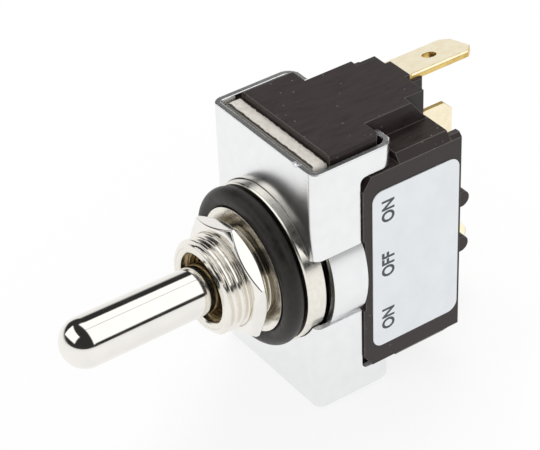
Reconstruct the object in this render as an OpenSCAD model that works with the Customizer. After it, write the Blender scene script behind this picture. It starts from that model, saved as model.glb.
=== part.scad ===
// Panel toggle switch, ON-OFF-ON, sealed bushing, steel clamp bracket, quick-connect tabs.
// Frame: origin on the bushing axis at the face that seats on the panel.
// +X to the labelled side, +Y to the terminals, +Z up. The lever points along -Y. Millimetres.

/* [Bracket] */
// width over both flanges
bracket_w = 20.3; // [20:0.1:20.8]
// height of the bracket
bracket_h = 34.4; // [34.3:0.1:36]
// sideways offset of the bracket from the bushing axis
bracket_shift = -0.25; // [-0.3:0.05:0]
// sheet thickness
sheet_t = 0.8; // [0.7:0.05:0.9]
// outer face of the front plate, behind the panel seat
bracket_y = 3.6; // [3.4:0.05:3.8]
// rear edge of the flanges
flange_rear = 10.3; // [10:0.05:10.3]
// rear face of the two upper curled tabs
tab_rear_top = 15.4; // [14.95:0.05:15.5]
// rear face of the two lower curled tabs
tab_rear_low = 14.95; // [14.95:0.05:15.5]
// height of each corner tab
tab_h = 3.05; // [2.6:0.05:3.05]

/* [Bushing] */
// outside diameter of the panel thread
thread_d = 12.0; // [11.8:0.05:12]
// length of the threaded barrel ahead of the panel seat
barrel_l = 6.0; // [6:0.1:9]
// through bore of the barrel
barrel_bore = 8.9; // [8.8:0.05:9]
// diameter of the panel seat lip
seat_d = 15.9; // [15.5:0.1:15.9]
// diameter of the drum that the bracket opens around
drum_d = 20.4; // [20:0.1:20.5]
// rear face of the bushing's rectangular plate
plate_rear = 6.8; // [6.6:0.05:6.9]

/* [Nut and seal] */
// nut size across flats
nut_af = 14.0; // [13.6:0.1:14.4]
// nut thickness
nut_t = 2.0; // [1.6:0.1:2.2]
// rear face of the nut, ahead of the panel seat
nut_gap = 1.1; // [0.4:0.1:1.4]
// section diameter of the panel seal
seal_d = 2.5; // [2.3:0.05:2.5]

/* [Lever] */
// diameter of the round tip
tip_d = 6.3; // [5.8:0.1:6.4]
// diameter of the rod at the bushing mouth
rod_d = 6.1; // [5.6:0.1:6.1]
// reach of the lever tip ahead of the panel seat
lever_reach = 24.95; // [20:0.05:28]
// diameter of the pivot ball
ball_d = 8.6; // [8.4:0.05:8.6]
// pivot behind the panel seat
pivot_y = 0.3; // [0.2:0.05:0.4]

/* [Contacts] */
// distance of each contact above or below the axis
contact_z = 8.0; // [7.6:0.1:8.2]
// open gap of each contact with the lever upright
contact_gap = 1.0; // [1:0.05:1.3]

/* [Base] */
// height of the moulded base
base_h = 36.2; // [35.6:0.1:37]
// width of the centre column
column_w = 11.6; // [11.4:0.1:12]
// rear face of the centre column
column_rear = 23.4; // [23:0.1:24]
// outer face of each side block, from the axis
block_x = 10.2; // [10:0.1:10.6]
// height of each side block
block_h = 28.0; // [27.4:0.1:28]

/* [Terminals] */
// tab width
tab_w = 6.35; // [6.3:0.05:6.4]
// tab thickness
tab_t = 0.8; // [0.7:0.05:0.85]
// distance from the tab hole to the tip
hole_back = 4.8; // [4:0.1:5]
// tip of the tabs, behind the panel seat
tab_tip = 34.9; // [34:0.1:36]
// tab hole diameter
tab_hole = 1.8; // [1.6:0.1:2]

/* [Hidden] */
$fn = 64;
half_w = bracket_w / 2;
half_h = bracket_h / 2;
drum_r = drum_d / 2;
bore_r = barrel_bore / 2;
barrel_r = thread_d / 2;
// where the threads of barrel and nut meet, at the thread's pitch line
mesh_r = barrel_r - 0.33;
nut_rear = -nut_gap;
nut_front = nut_rear - nut_t;
seal_r = seal_d / 2;
seal_ring_r = 8.9;
neck_r = seal_ring_r - seal_r;
drum_front = 2.4;
plate_front = 4.9;
ring_y = -4.05;
ring_t = 0.7;
ring_r = bore_r + 0.43;
pin_r = 1.0;
pin_half = 4.95;
tip_r = tip_d / 2;
tip_y = tip_r - lever_reach;
ball_r = ball_d / 2;
stem_r = 2.4;
stem_end = 8.5;
spring_bore = 1.45;
spring_seat = 1.9;
plunger_r = 1.38;
plunger_rear = 12.4;
plunger_back = 6.6;
cradle_r = 5.3;
cradle_y = plunger_rear + plunger_r + 0.05;
rocker_t = 0.8;
rocker_w = 4.6;
rocker_pivot = 15.1;
fixed_face = 17.2;
moving_face = fixed_face - contact_gap;
pad_front = 18.2;
floor_y = 19.0;
base_front = plate_rear + 0.05;
half_base = base_h / 2;
shoulder_y = 14.05;
column_x = column_w / 2;
block_front = 10.4;
band_half = 5;
band_rear = flange_rear + 0.3;
block_rear = 25.0;
half_block = block_h / 2;
block_top = half_block + 1.1;
boss_rear = 26.3;
tab_clear = 15.75;
top_tab = [-2.35, 17.1, -13.5];
low_tab = [-2.15, -9.5, 18];
mid_tab_x = -4.0;
mid_tab_z = 4.9;
label_t = 0.1;

// turns an upright solid so that its Z axis runs along +Y
module along_y() {
    rotate([-90, 0, 0]) children();
}

// plain disc or shaft from y0 to y1
module shaft(r, y0, y1) {
    translate([0, y0, 0]) along_y() cylinder(r = r, h = y1 - y0);
}

// cone or chamfer from radius ra at y0 to radius rb at y1
module taper(ra, rb, y0, y1) {
    translate([0, y0, 0]) along_y() cylinder(r1 = ra, r2 = rb, h = y1 - y0);
}

// box given by its low and high corners
module span(lo, hi) {
    translate(lo) cube(hi - lo);
}

// ring of round section about the Y axis
module round_ring(ring, r, y) {
    translate([0, y, 0]) along_y() rotate_extrude($fn = 96) translate([ring, 0]) circle(r = r, $fn = 32);
}

// rectangle with round corners
module round_rect(w, h, r) {
    square([w - 2 * r, h], center = true);
    square([w, h - 2 * r], center = true);
    for (x = [-1, 1], y = [-1, 1]) {
        translate([x * (w / 2 - r), y * (h / 2 - r)]) circle(r = r, $fn = 32);
    }
}

// extrudes a drawing of the side view (y, z) along X, from x0 to x1
module side_solid(x0, x1) {
    translate([x0, 0, 0]) rotate([90, 0, 90]) linear_extrude(height = x1 - x0) children();
}

// extrudes a drawing of the top view (x, y) along Z, about the middle
module plan_solid(h) {
    translate([0, 0, -h / 2]) linear_extrude(height = h) children();
}

// extrudes a drawing of the front view (x, z) along Y, from y0 to y1
module front_solid(y0, y1) {
    translate([0, y1, 0]) rotate([90, 0, 0]) linear_extrude(height = y1 - y0) children();
}

// ---- bracket ----

// folded strip seen from above: front plate, bends, flanges and curled ends
module bracket_plan(rear) {
    bend = 1.2;
    curl = 1.9;
    depth = rear - bracket_y;
    difference() {
        union() {
            translate([-half_w + bend, bracket_y]) square([bracket_w - 2 * bend, depth]);
            translate([-half_w, bracket_y + bend]) square([bracket_w, depth - bend - curl]);
            for (s = [-1, 1]) {
                translate([s * (half_w - bend), bracket_y + bend]) circle(r = bend);
                translate([s * (half_w - curl), rear - curl]) circle(r = curl);
            }
            translate([-half_w + curl, rear - curl]) square([bracket_w - 2 * curl, curl]);
        }
        translate([-half_w + sheet_t, bracket_y + bend]) square([bracket_w - 2 * sheet_t, depth - bend - curl]);
        translate([-half_w + bend, bracket_y + sheet_t]) square([bracket_w - 2 * bend, 2]);
        for (s = [-1, 1]) {
            translate([s * (half_w - bend), bracket_y + bend]) circle(r = bend - sheet_t);
            translate([s * (half_w - curl), rear - curl]) circle(r = curl - sheet_t);
        }
        translate([-half_w + curl, rear - curl - 1]) square([bracket_w - 2 * curl, curl - sheet_t + 1]);
        translate([-6.7, rear - 1.2]) square([13.4, 2.4]);
    }
}

// upper half of the flange seen from the side, with the tab at its rear corner
module bracket_side(rear) {
    corner = 1.6;
    inner = 0.8;
    low = half_h - tab_h;
    translate([bracket_y - 1, -0.01]) square([flange_rear - bracket_y + 1, half_h + 0.01]);
    translate([flange_rear - 0.1, low + corner]) square([rear - flange_rear + 1, tab_h - corner]);
    translate([flange_rear - 0.1, low]) square([rear - flange_rear - corner + 0.6, corner + 0.1]);
    translate([rear - corner + 0.5, low + corner]) circle(r = corner);
    difference() {
        translate([flange_rear - 0.1, low - inner]) square([inner + 0.1, inner + 0.1]);
        translate([flange_rear + inner, low - inner]) circle(r = inner);
    }
}

// upper half of the folded strip
module bracket_half(rear) {
    intersection() {
        plan_solid(bracket_h) bracket_plan(rear);
        side_solid(-15, 15) bracket_side(rear);
    }
}

// band of one flange that bows out around the drum
module bracket_band() {
    bow = half_w + 0.95;
    intersection() {
        difference() {
            shaft(bow, bracket_y + 2.1, band_rear);
            shaft(bow - sheet_t, bracket_y + 1, band_rear + 1);
        }
        span([5, 0, -band_half], [15, 20, band_half]);
    }
}

module steel_bracket() {
    color([0.78, 0.80, 0.84]) {
        difference() {
            translate([bracket_shift, 0, 0]) difference() {
                union() {
                    bracket_half(tab_rear_top);
                    mirror([0, 0, 1]) bracket_half(tab_rear_low);
                }
                for (s = [-1, 1]) {
                    span([s * half_w - 1.6, 0, -band_half], [s * half_w + 1.6, flange_rear + 1, band_half]);
                }
            }
            shaft(drum_r + 0.1, 0, 5.6);
            translate([6.5, bracket_y, half_h + 0.1]) along_y() cylinder(r = 0.42, h = 0.5);
        }
        for (m = [0, 1]) translate([bracket_shift, 0, 0]) mirror([m, 0, 0]) bracket_band();
    }
}

// ---- bushing, nut and seals ----

module pin_slot() {
    slot = pin_r + 0.04;
    translate([0, pivot_y, 0]) rotate([0, 90, 0]) cylinder(r = slot, h = 10.1, center = true, $fn = 32);
    span([-5.05, pivot_y, -slot], [5.05, plate_rear + 1, slot]);
}

module bushing_housing() {
    color([0.74, 0.72, 0.66]) difference() {
        union() {
            taper(barrel_r - 0.45, barrel_r, -barrel_l, -barrel_l + 0.45);
            shaft(barrel_r, -barrel_l + 0.45, nut_front - 0.03);
            taper(barrel_r, mesh_r, nut_front - 0.03, nut_front + 0.3);
            shaft(mesh_r, nut_front, nut_rear);
            taper(mesh_r, barrel_r, nut_rear - 0.3, nut_rear + 0.03);
            shaft(barrel_r, nut_rear + 0.03, 0.1);
            shaft(seat_d / 2, 0, 0.25);
            taper(seat_d / 2, neck_r, 0.25, 0.6);
            shaft(neck_r, 0.25, plate_front);
            taper(drum_r - 0.2, drum_r, drum_front, drum_front + 0.2);
            shaft(drum_r, drum_front + 0.2, plate_front);
            front_solid(plate_front - 0.01, plate_rear) translate([-0.4, 0]) round_rect(17.6, 34.2, 0.8);
        }
        shaft(bore_r, -barrel_l - 1, plate_rear + 1);
        taper(bore_r + 0.2, bore_r, -barrel_l - 0.01, -barrel_l + 0.2);
        shaft(ring_r + 0.03, ring_y - ring_t - 0.05, ring_y + 0.02);
        pin_slot();
    }
}

// nut blank turned to the chamfer of both faces
module nut_blank(rear) {
    r_c = nut_af / sqrt(3) + 0.4;
    face = nut_af / 2 - 0.25;
    cut = (r_c - face) * tan(30);
    translate([0, rear - nut_t, 0]) along_y() rotate_extrude($fn = 96) {
        polygon([[0, 0], [face, 0], [r_c, cut], [r_c, nut_t - cut], [face, nut_t], [0, nut_t]]);
    }
}

module hex_nut() {
    hole = mesh_r + 0.03;
    r_v = nut_af / sqrt(3);
    color([0.76, 0.74, 0.69]) difference() {
        intersection() {
            front_solid(nut_front - 1, nut_rear + 1) rotate(17.6) {
                polygon([for (i = [0:5]) [r_v * cos(60 * i), r_v * sin(60 * i)]]);
            }
            nut_blank(nut_rear);
        }
        shaft(hole, nut_front - 1, nut_rear + 1);
        taper(hole + 0.4, hole, nut_front - 0.01, nut_front + 0.4);
        taper(hole, hole + 0.4, nut_rear - 0.4, nut_rear + 0.01);
    }
}

module panel_seal() {
    color([0.10, 0.10, 0.10]) round_ring(seal_ring_r, seal_r, drum_front - seal_r);
}

module lever_seal() {
    color([0.12, 0.11, 0.11]) round_ring(bore_r - 0.6, 0.6, -2.78);
}

module gland_washer() {
    color([0.78, 0.62, 0.34]) difference() {
        shaft(bore_r - 0.03, -3.95, -3.42);
        shaft(3.6, -5, -3);
    }
}

module retaining_ring() {
    color([0.80, 0.64, 0.36]) difference() {
        shaft(ring_r, ring_y - ring_t, ring_y);
        shaft(4.15, ring_y - 2, ring_y + 1);
        rotate([0, 200, 0]) span([-1.1, -8, 0], [1.1, 0, 8]);
    }
}

// ---- lever ----

module lever() {
    color([0.78, 0.76, 0.71]) difference() {
        union() {
            translate([0, tip_y, 0]) sphere(r = tip_r);
            taper(tip_r, rod_d / 2, tip_y, -5.1);
            taper(rod_d / 2, 2.6, -5.1, -4.75);
            shaft(2.6, -4.8, pivot_y);
            translate([0, pivot_y, 0]) sphere(r = ball_r);
            shaft(stem_r, pivot_y, stem_end - 0.3);
            taper(stem_r, stem_r - 0.3, stem_end - 0.3, stem_end);
        }
        shaft(spring_bore, spring_seat, stem_end + 1);
        translate([0, pivot_y, 0]) rotate([0, 90, 0]) cylinder(r = pin_r, h = 12, center = true, $fn = 32);
    }
}

module lever_pin() {
    color([0.70, 0.70, 0.72]) translate([0, pivot_y, 0]) rotate([0, 90, 0]) union() {
        cylinder(r = pin_r, h = 2 * pin_half - 0.4, center = true, $fn = 32);
        for (s = [0, 1]) mirror([0, 0, s]) translate([0, 0, pin_half - 0.2]) {
            cylinder(r1 = pin_r, r2 = pin_r - 0.2, h = 0.2, $fn = 32);
        }
    }
}

// points of one section of the coil wire, at turn angle a
function coil_ring(a, y, ring, wire) =
    [for (k = [0:5]) let (q = 60 * k, r = ring + wire * cos(q))
        [r * cos(a), y + wire * sin(q), r * sin(a)]];

// round wire wound about the Y axis
module coil(ring, wire, y0, y1, turns) {
    steps = turns * 16;
    rise = (y1 - y0 - 2 * wire) / steps;
    rings = [for (i = [0:steps]) coil_ring(22.5 * i, y0 + wire + rise * i, ring, wire)];
    points = [for (p = rings) each p];
    walls = [for (i = [0:steps - 1], k = [0:5]) let (n = (k + 1) % 6)
        [6 * i + k, 6 * i + n, 6 * i + 6 + n, 6 * i + 6 + k]];
    ends = [[5, 4, 3, 2, 1, 0], [for (k = [0:5]) 6 * steps + k]];
    polyhedron(points = points, faces = concat(walls, ends), convexity = 6);
}

module lever_spring() {
    color([0.62, 0.63, 0.65]) coil(1.12, 0.18, spring_seat, plunger_back, 5);
}

module plunger() {
    color([0.86, 0.84, 0.76]) union() {
        taper(plunger_r - 0.2, plunger_r, plunger_back, plunger_back + 0.2);
        shaft(plunger_r, plunger_back + 0.2, plunger_rear);
        translate([0, plunger_rear, 0]) sphere(r = plunger_r);
    }
}

// ---- contact mechanism ----

// rocker seen from the side: cradle in the middle, an arm out to each contact
module rocker_side() {
    lip_z = 3.0;
    lip_y = cradle_y - cradle_r + sqrt(cradle_r * cradle_r - lip_z * lip_z);
    arm_y = moving_face - 0.75 - rocker_t;
    half = [[lip_y + 0.03, lip_z], [lip_y + 0.1, lip_z + 0.85], [arm_y, 6.2], [arm_y, contact_z + 1.5],
        [arm_y + rocker_t, contact_z + 1.5], [arm_y + rocker_t, 5.9], [lip_y + 1.05, lip_z + 0.5],
        [cradle_y + rocker_t, 1.4], [cradle_y + rocker_t, 1.1], [rocker_pivot, 1.1]];
    other = [for (i = [len(half) - 1:-1:0]) [half[i][0], -half[i][1]]];
    difference() {
        polygon(concat(half, other));
        translate([cradle_y - cradle_r, 0]) circle(r = cradle_r, $fn = 96);
        translate([rocker_pivot, 0]) circle(r = 0.55, $fn = 32);
    }
}

module rocker() {
    color([0.80, 0.52, 0.34]) difference() {
        side_solid(-rocker_w / 2, rocker_w / 2) rocker_side();
        for (s = [-1, 1]) translate([0, 10, s * contact_z]) along_y() cylinder(r = 0.75, h = 8, $fn = 32);
    }
}

// contact rivet with a domed face towards +Y and its shank through the sheet
module rivet(y, z, sheet) {
    dome = 4.0;
    translate([0, 0, z]) union() {
        intersection() {
            translate([0, y - dome, 0]) sphere(r = dome, $fn = 96);
            shaft(1.3, y - 0.75, y + 1);
        }
        shaft(0.75, y - 0.75 - sheet - 0.25, y - 0.7);
        shaft(1.05, y - 0.75 - sheet - 0.25, y - 0.75 - sheet);
    }
}

module moving_contact_top() {
    color([0.86, 0.86, 0.84]) rivet(moving_face, contact_z, rocker_t);
}

module moving_contact_bottom() {
    color([0.86, 0.86, 0.84]) rivet(moving_face, -contact_z, rocker_t);
}

// flat contact rivet in a terminal pad, its face towards -Y
module fixed_rivet(z) {
    color([0.86, 0.86, 0.84]) translate([0, 0, z]) union() {
        taper(1.45, 1.6, fixed_face, fixed_face + 0.15);
        shaft(1.6, fixed_face + 0.15, pad_front);
        shaft(0.75, pad_front - 0.1, floor_y);
    }
}

module fixed_contact_top() {
    fixed_rivet(contact_z);
}

module fixed_contact_bottom() {
    fixed_rivet(-contact_z);
}

// ---- terminals ----

// blade outline: straight sides, cut tip corners, round hole
module blade_plan(y0) {
    nip = 1.25;
    difference() {
        polygon([[-tab_w / 2, y0], [tab_w / 2, y0], [tab_w / 2, tab_tip - nip], [tab_w / 2 - nip, tab_tip],
            [nip - tab_w / 2, tab_tip], [-tab_w / 2, tab_tip - nip]]);
        translate([0, tab_tip - hole_back]) circle(d = tab_hole, $fn = 32);
    }
}

// blade at place [x, z, roll], its upper face on that line, from y0 to the tip
module blade(place, y0, grow = 0) {
    translate([place[0], 0, place[1]]) rotate([0, place[2], 0]) {
        difference() {
            translate([0, 0, -tab_t - grow]) linear_extrude(height = tab_t + 2 * grow) {
                blade_plan(y0);
                if (grow > 0) translate([-tab_w / 2 - grow, y0]) square([tab_w + 2 * grow, 9]);
            }
            for (s = [0, 1]) mirror([s, 0, 0]) translate([tab_w / 2 - 0.25, 25, 0.001]) {
                rotate([0, 45, 0]) cube([1, 20, 1]);
            }
        }
    }
}

// flat internal pad behind a fixed contact
module pad(x0, x1, z0, z1) {
    span([x0, pad_front, z0], [x1, floor_y, z1]);
}

module pad_hole(z) {
    translate([0, pad_front - 1, z]) along_y() cylinder(r = 0.75, h = 3, $fn = 32);
}

module terminal_top() {
    color([0.84, 0.70, 0.36]) difference() {
        union() {
            blade(top_tab, pad_front);
            pad(-3.1, 2.2, contact_z - 2, contact_z + 2);
            pad(-4.8, 2.2, contact_z + 1, 15.95);
        }
        pad_hole(contact_z);
    }
}

module terminal_bottom() {
    color([0.84, 0.70, 0.36]) difference() {
        union() {
            blade(low_tab, pad_front);
            pad(-4.8, 2.2, -contact_z - 3.2, -contact_z + 2);
        }
        pad_hole(-contact_z);
    }
}

// round crest that the rocker sits on
module saddle() {
    translate([0, rocker_pivot, 0]) rotate([0, 90, 0]) cylinder(r = 0.5, h = 3.6, center = true, $fn = 32);
    span([-1.8, rocker_pivot, -0.45], [1.8, pad_front + 0.1, 0.45]);
}

module terminal_common() {
    color([0.84, 0.70, 0.36]) union() {
        blade([mid_tab_x - tab_t / 2, mid_tab_z, -90], pad_front);
        pad(mid_tab_x - tab_t / 2, 2.6, -2.2, 4.4);
        saddle();
    }
}

// ---- moulded parts ----

// front stretch of a side block seen from the side: corners cut off, a notch behind the bowed band
module block_side() {
    notch = band_half + 0.15;
    low = [[band_rear + 0.1, -notch], [block_front, -notch], [block_front, -12.2],
        [block_front + 1.2, -half_block], [tab_clear + 0.1, -half_block]];
    high = [for (i = [len(low) - 1:-1:0]) [low[i][0], -low[i][1]]];
    polygon(concat(low, high));
}

// one side block with its rear wall and two wire lugs
module side_block() {
    side_solid(column_x - 0.6, block_x) block_side();
    front_solid(tab_clear, column_rear) polygon([[column_x - 0.6, -block_top], [block_x - 0.9, -block_top],
        [block_x, -half_block], [block_x, half_block], [block_x - 0.9, block_top], [column_x - 0.6, block_top]]);
    front_solid(column_rear - 0.1, block_rear) polygon([[block_x - 1.2, -half_block - 0.5],
        [block_x - 0.5, -half_block - 0.5], [block_x, -half_block], [block_x, half_block],
        [block_x - 0.5, half_block + 0.5], [block_x - 1.2, half_block + 0.5]]);
    for (s = [-1, 1]) {
        side_solid(7.3, 8.7) translate([26.5, s * 3.4]) circle(r = 1.1, $fn = 32);
        span([7.3, column_rear - 0.5, s * 3.4 - 1.1], [8.7, 26.5, s * 3.4 + 1.1]);
    }
}

// centre column with its rear corners cut back and a ledge at the top
module column() {
    difference() {
        span([-column_x, 8, -half_base], [column_x, column_rear, half_base]);
        for (s = [-1, 1]) for (m = [0, 1]) mirror([m, 0, 0]) scale([1, 1, s]) {
            side_solid(4.5, 7) polygon([[20.9, half_base], [20.9, half_base + 1], [25, half_base + 1],
                [25, 14.9], [23.4, 14.9]]);
        }
    }
    span([-4.5, 20, -half_base], [4.5, column_rear + 0.4, half_base]);
    span([-2.9, 20, -half_base], [0.9, column_rear + 1.2, half_base]);
}

// rear boss that carries the blades out of the case
module rear_boss() {
    plan_solid(34.6) polygon([[-6.0, 21], [1.5, 21], [1.5, boss_rear - 0.4], [1.1, boss_rear],
        [-5.6, boss_rear], [-6.0, boss_rear - 0.4]]);
}

module case_body() {
    intersection() {
        front_solid(base_front, shoulder_y) round_rect(17.4, base_h, 0.6);
        plan_solid(base_h) polygon([[-8.7, base_front], [8.7, base_front], [8.7, shoulder_y - 0.5],
            [8.2, shoulder_y], [-8.2, shoulder_y], [-8.7, shoulder_y - 0.5]]);
    }
    column();
    rear_boss();
    for (m = [0, 1]) mirror([m, 0, 0]) side_block();
}

// slot of one terminal, as wide as its blade with a little clearance
module blade_slot(place) {
    blade(place, pad_front - 0.05, 0.03);
}

module base_case() {
    color([0.10, 0.09, 0.09]) difference() {
        case_body();
        front_solid(base_front - 1, floor_y) round_rect(10, 32, 0.3);
        blade_slot(top_tab);
        blade_slot(low_tab);
        blade_slot([mid_tab_x - tab_t / 2, mid_tab_z, -90]);
        translate([top_tab[0], column_rear + 1.2, top_tab[1]]) rotate([0, top_tab[2], 0]) {
            translate([-tab_w / 2 - 1, 0, -0.4]) cube([tab_w + 1.03, 5, 3]);
        }
    }
}

module label() {
    color([0.90, 0.90, 0.91]) translate([0, 18.15, 0]) side_solid(block_x, block_x + label_t) {
        round_rect(12.9, 22.9, 1.4);
    }
}

steel_bracket();
bushing_housing();
hex_nut();
panel_seal();
lever();
lever_pin();
lever_seal();
gland_washer();
retaining_ring();
lever_spring();
plunger();
rocker();
moving_contact_top();
moving_contact_bottom();
base_case();
terminal_top();
terminal_common();
terminal_bottom();
fixed_contact_top();
fixed_contact_bottom();
label();
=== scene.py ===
# %% [markdown]
# # A sealed panel toggle switch, ON / OFF / ON
# The real object is a round bat lever in a threaded bushing, with a hex nut and a rubber ring that seals
# it against a panel. Behind them a folded steel bracket holds a moulded case, and brass tabs leave its rear.
# The engineering model is loaded first and stays fixed. It says where everything is and what moves. This
# script then gives each piece its looks: some pieces keep the engineering shape and only get a finish,
# others are rebuilt with the detail that the eye expects, such as a real screw thread.
# Lengths are written in millimetres, because that is how such a switch is drawn, and turned into metres.

# %% Load the fixed frame
import math
import bpy
import bmesh
from mathutils import Matrix, Vector


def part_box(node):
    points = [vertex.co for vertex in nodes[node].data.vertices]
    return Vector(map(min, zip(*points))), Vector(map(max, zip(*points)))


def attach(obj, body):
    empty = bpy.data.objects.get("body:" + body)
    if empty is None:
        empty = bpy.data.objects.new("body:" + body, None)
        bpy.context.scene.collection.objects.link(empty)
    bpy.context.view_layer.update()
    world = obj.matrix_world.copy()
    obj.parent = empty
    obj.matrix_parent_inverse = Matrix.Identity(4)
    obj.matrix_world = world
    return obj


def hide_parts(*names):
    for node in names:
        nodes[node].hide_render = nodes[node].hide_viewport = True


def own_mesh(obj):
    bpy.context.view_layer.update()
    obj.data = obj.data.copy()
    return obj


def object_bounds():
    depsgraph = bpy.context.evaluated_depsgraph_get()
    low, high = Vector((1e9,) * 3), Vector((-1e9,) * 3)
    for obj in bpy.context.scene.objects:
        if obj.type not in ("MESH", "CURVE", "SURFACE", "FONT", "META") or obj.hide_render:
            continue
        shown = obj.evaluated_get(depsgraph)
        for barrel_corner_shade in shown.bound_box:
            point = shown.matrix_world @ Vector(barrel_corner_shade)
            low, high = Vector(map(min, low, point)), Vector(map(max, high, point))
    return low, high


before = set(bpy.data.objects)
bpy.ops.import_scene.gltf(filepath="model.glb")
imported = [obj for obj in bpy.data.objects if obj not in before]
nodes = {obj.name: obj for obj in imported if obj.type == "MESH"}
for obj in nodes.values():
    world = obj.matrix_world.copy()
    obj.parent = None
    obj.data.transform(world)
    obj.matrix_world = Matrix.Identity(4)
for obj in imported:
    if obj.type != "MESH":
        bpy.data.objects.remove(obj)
cad_box = [list(barrel_corner_shade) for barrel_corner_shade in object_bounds()]
mm = 0.001
print("engineering box, mm:", [[round(v / mm, 2) for v in barrel_corner_shade] for barrel_corner_shade in cad_box])

# %% [markdown]
# ## The camera
# The switch is seen from above and from its label side, with the lever pointing to the lower left. A long
# lens keeps the sides nearly parallel. The camera is placed by three directions, right, up and back, which
# is simpler than three turn angles when the camera is also rolled a little.

# %% Camera
def look_from(name, place, right, up, back, lens):
    data = bpy.data.cameras.new(name)
    data.lens = lens
    data.sensor_width = 36.0
    data.clip_start = 0.01
    camera = bpy.data.objects.new(name, data)
    turn = Matrix((right, up, back)).transposed().to_4x4()
    camera.matrix_world = Matrix.Translation(Vector(place) * mm) @ turn
    bpy.context.scene.collection.objects.link(camera)
    return camera


camera = look_from("camera", (167.2, -108.2, 154.0), (0.5790, 0.8146, -0.0347),
                   (-0.4695, 0.3679, 0.8026), (0.6666, -0.4484, 0.5955), 141.3)
bpy.context.scene.camera = camera
bpy.context.scene.view_settings.view_transform = "Standard"
print("camera looks along", [round(-v, 3) for v in camera.matrix_world.col[2][:3]])

# %% [markdown]
# ## The floor
# A switch like this is shown on a white sheet that is lit through from below, so that only a breath of a
# shadow is left. The floor is a plain square whose material is part light and part matt paint: the light
# part keeps it white, and the paint part still takes the shadow.

# %% Floor
def light_table(low_z):
    mesh = bpy.data.meshes.new("floor")
    reach = 1.6
    mesh.from_pydata([(-reach, -reach, low_z), (reach, -reach, low_z), (reach, reach, low_z),
                      (-reach, reach, low_z)], [], [(0, 1, 2, 3)])
    floor = bpy.data.objects.new("floor", mesh)
    bpy.context.scene.collection.objects.link(floor)
    sheet = bpy.data.materials.new("white_sheet")
    sheet.use_nodes = True
    paint = sheet.node_tree.nodes["Principled BSDF"]
    paint.inputs["Base Color"].default_value = (0.14, 0.14, 0.14, 1)
    paint.inputs["Roughness"].default_value = 0.9
    paint.inputs["Specular IOR Level"].default_value = 0.0
    paint.inputs["Emission Color"].default_value = (1.0, 1.0, 1.0, 1)
    paint.inputs["Emission Strength"].default_value = 0.84
    mesh.materials.append(sheet)
    return floor


floor = light_table(cad_box[0][2] - 0.02 * mm)
print("floor at z", round(floor.data.vertices[0].co.z / mm, 2), "mm")

# %% [markdown]
# ## The light
# Polished metal has no colour of its own: it shows the room. This room is a photo studio. Below the
# horizon lies a white table, and a white card closes it on the left. Above it the room is dark, with two
# lights: a big one overhead, behind the switch, and a smaller one up in front. Where the lever turns from
# one to the next, the dark room shows as a dark line. A world is a picture wrapped round the scene, and
# each ray asks it for one direction (x, y, z), so every light is a rule about those three numbers.
# Matt surfaces see an even white instead, so that the dark room doesn't darken the label or the case.

# %% World tools
world = bpy.data.worlds.new("studio")
bpy.context.scene.world = world
world.use_nodes = True
sky = world.node_tree
sky.nodes.clear()


def number(tree, task, *values):
    """One step of arithmetic in a node tree. A value is a plain number or another node's output."""
    made = tree.nodes.new("ShaderNodeMath")
    made.operation = task
    for socket, value in zip(made.inputs, values):
        if isinstance(value, (int, float)):
            socket.default_value = value
        else:
            tree.links.new(value, socket)
    return made.outputs[0]


def maths(task, *values):
    return number(sky, task, *values)


def beyond(value, edge, soft):
    """0 below the edge and 1 above it, with a soft step between."""
    made = sky.nodes.new("ShaderNodeMapRange")
    made.interpolation_type = "SMOOTHSTEP"
    made.inputs[1].default_value = edge - soft
    made.inputs[2].default_value = edge + soft
    sky.links.new(value, made.inputs[0])
    return made.outputs[0]


def along(direction):
    """How far a ray points along a direction, from -1 to 1."""
    made = sky.nodes.new("ShaderNodeVectorMath")
    made.operation = "DOT_PRODUCT"
    made.inputs[1].default_value = direction
    sky.links.new(ray_way, made.inputs[0])
    return made.outputs["Value"]


ray_way = sky.nodes.new("ShaderNodeTexCoord").outputs["Generated"]
ray_x, ray_y, ray_z = along((1, 0, 0)), along((0, 1, 0)), along((0, 0, 1))
print("a world of rules:", len(sky.nodes), "nodes so far")

# %% [markdown]
# The table ends a little above the horizon. On the left its card stands higher, the further back the
# higher. The overhead light starts at a slanted line, and a thin seam in its cloth draws the fine line
# along the middle of the lever. The front light is a rectangle, 64 by 34 degrees, turned a little.

# %% Table and lights
def white_table():
    left = beyond(maths("MULTIPLY", ray_x, -1.0), 0.35, 0.3)
    backward = maths("MAXIMUM", ray_y, 0.0)
    rise = maths("MULTIPLY", backward, maths("SUBTRACT", maths("MULTIPLY", left, 0.85), 0.11))
    height = maths("SUBTRACT", maths("SUBTRACT", ray_z, rise), 0.12)
    on_table = maths("SUBTRACT", 1.0, beyond(height, 0.0, 0.035))
    under_card = maths("SUBTRACT", 1.0, beyond(height, -0.02, 0.13))
    both = maths("ADD", maths("MULTIPLY", on_table, maths("SUBTRACT", 1.0, left)),
                 maths("MULTIPLY", under_card, left))
    return maths("MULTIPLY", both, 0.93)


def overhead_light():
    high = beyond(maths("ADD", ray_z, maths("MULTIPLY", ray_x, 0.364)), 0.624, 0.035)
    behind = beyond(maths("SUBTRACT", ray_y, maths("MULTIPLY", ray_x, 0.1)), 0.06, 0.05)
    seam = beyond(maths("ABSOLUTE", maths("SUBTRACT", ray_x, 0.062)), 0.024, 0.012)
    cloth = maths("ADD", 0.60, maths("MULTIPLY", seam, 0.60))
    return maths("MULTIPLY", maths("MULTIPLY", high, behind), cloth)


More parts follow.
